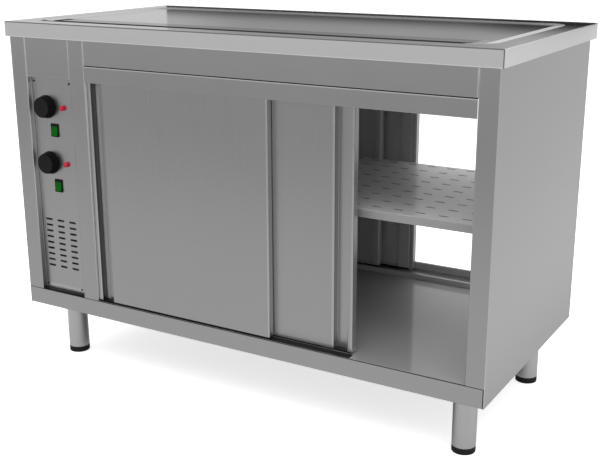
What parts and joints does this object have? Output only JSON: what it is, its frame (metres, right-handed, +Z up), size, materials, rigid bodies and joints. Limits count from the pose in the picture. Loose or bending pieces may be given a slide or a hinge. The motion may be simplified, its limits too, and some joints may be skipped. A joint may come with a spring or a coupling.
{
  "type": "hot food table",
  "caption": "Free-standing heated catering cupboard of folded steel with a heated worktop, sliding doors on both long sides, a slotted shelf and a control bay",
  "frame": {"origin": "on the ground under the middle of the worktop", "axes": "+X along the length towards the doors' end, +Y from the front to the back, +Z up"},
  "size_m": [1.2, 0.6, 0.83],
  "materials": {
    "worktop_steel": "fine brushed sheet, brighter on the lip",
    "body_steel": "fine brushed folded sheet",
    "panel_steel": "fine brushed folded sheet with punched vents",
    "door_steel": "fine brushed folded sheet",
    "inner_steel": "smooth rolled sheet",
    "shelf_steel": "fine brushed sheet with punched slots",
    "leg_steel": "brushed round tube",
    "track_aluminium": "drawn section, natural finish",
    "heater_sheath": "heat-dulled rod",
    "shaft_steel": "turned rod",
    "black_plastic": "moulded, satin",
    "knob_plastic": "moulded, satin",
    "foot_plastic": "moulded, dull",
    "nylon": "natural nylon",
    "red_lens": "clear coloured lens",
    "green_rocker": "clear coloured rocker"
  },
  "bodies": {
    "cabinet": {"base_front_strip": "body_steel", "cable_gland": "black_plastic", "ceiling_tray": "inner_steel", "chamber_heater": "heater_sheath", "chamber_partition": "body_steel", "control_header": "body_steel", "control_panel": "panel_steel", "floor_panel": "inner_steel", "front_fascia": "body_steel", "front_left_leg": "leg_steel", "front_right_leg": "leg_steel", "front_track": "track_aluminium", "front_track_cover": "body_steel", "heater_tray": "inner_steel", "left_leg_rail": "inner_steel", "left_shelf_rail": "inner_steel", "left_side_panel": "body_steel", "lower_pilot_lamp": "red_lens", "lower_switch_housing": "black_plastic", "lower_thermostat": "black_plastic", "perforated_shelf": "shelf_steel", "rear_fascia": "body_steel", "rear_left_leg": "leg_steel", "rear_right_leg": "leg_steel", "rear_service_cover": "body_steel", "rear_sill": "body_steel", "rear_track": "track_aluminium", "right_leg_rail": "inner_steel", "right_liner": "inner_steel", "right_shelf_rail": "inner_steel", "right_side_panel": "body_steel", "top_heater": "heater_sheath", "upper_pilot_lamp": "red_lens", "upper_switch_housing": "black_plastic", "upper_thermostat": "black_plastic", "worktop": "worktop_steel"},
    "front_outer_door_body": {"front_outer_door": "door_steel", "front_outer_door_runner": "nylon", "front_outer_door_glide": "black_plastic"},
    "front_inner_door_body": {"front_inner_door": "door_steel", "front_inner_door_runner": "nylon", "front_inner_door_glide": "black_plastic"},
    "rear_inner_door_body": {"rear_inner_door": "door_steel", "rear_inner_door_runner": "nylon", "rear_inner_door_glide": "black_plastic"},
    "rear_outer_door_body": {"rear_outer_door": "door_steel", "rear_outer_door_runner": "nylon", "rear_outer_door_glide": "black_plastic"},
    "upper_knob_body": {"upper_knob": "knob_plastic", "upper_knob_shaft": "shaft_steel"},
    "upper_rocker_body": {"upper_switch_rocker": "green_rocker"},
    "lower_knob_body": {"lower_knob": "knob_plastic", "lower_knob_shaft": "shaft_steel"},
    "lower_rocker_body": {"lower_switch_rocker": "green_rocker"},
    "front_left_foot_body": {"front_left_foot": "foot_plastic"},
    "front_right_foot_body": {"front_right_foot": "foot_plastic"},
    "rear_left_foot_body": {"rear_left_foot": "foot_plastic"},
    "rear_right_foot_body": {"rear_right_foot": "foot_plastic"}
  },
  "joints": [
    {"name": "front_outer_door_slide", "type": "slide", "parent": "cabinet", "child": "front_outer_door_body", "axis": [1, 0, 0], "range_m": [0, 0.4445]},
    {"name": "front_inner_door_slide", "type": "slide", "parent": "cabinet", "child": "front_inner_door_body", "axis": [1, 0, 0], "range_m": [-0.189, 0.255]},
    {"name": "rear_inner_door_slide", "type": "slide", "parent": "cabinet", "child": "rear_inner_door_body", "axis": [1, 0, 0], "range_m": [0, 0.4445]},
    {"name": "rear_outer_door_slide", "type": "slide", "parent": "cabinet", "child": "rear_outer_door_body", "axis": [1, 0, 0], "range_m": [-0.087, 0.357]},
    {"name": "upper_knob_turn", "type": "hinge", "parent": "cabinet", "child": "upper_knob_body", "pos_m": [-0.5048, -0.2802, 0.637], "axis": [0, 1, 0], "range_deg": [0, 270]},
    {"name": "lower_knob_turn", "type": "hinge", "parent": "cabinet", "child": "lower_knob_body", "pos_m": [-0.5048, -0.2802, 0.50452], "axis": [0, 1, 0], "range_deg": [0, 270]},
    {"name": "upper_rocker_tilt", "type": "hinge", "parent": "cabinet", "child": "upper_rocker_body", "pos_m": [-0.4832, -0.28, 0.5835], "axis": [1, 0, 0], "range_deg": [0, 16]},
    {"name": "lower_rocker_tilt", "type": "hinge", "parent": "cabinet", "child": "lower_rocker_body", "pos_m": [-0.4832, -0.28, 0.45102], "axis": [1, 0, 0], "range_deg": [0, 16]},
    {"name": "front_left_foot_screw", "type": "slide", "parent": "cabinet", "child": "front_left_foot_body", "axis": [0, 0, -1], "range_m": [0, 0.025]},
    {"name": "front_right_foot_screw", "type": "slide", "parent": "cabinet", "child": "front_right_foot_body", "axis": [0, 0, -1], "range_m": [0, 0.025]},
    {"name": "rear_left_foot_screw", "type": "slide", "parent": "cabinet", "child": "rear_left_foot_body", "axis": [0, 0, -1], "range_m": [0, 0.025]},
    {"name": "rear_right_foot_screw", "type": "slide", "parent": "cabinet", "child": "rear_right_foot_body", "axis": [0, 0, -1], "range_m": [0, 0.025]}
  ]
}
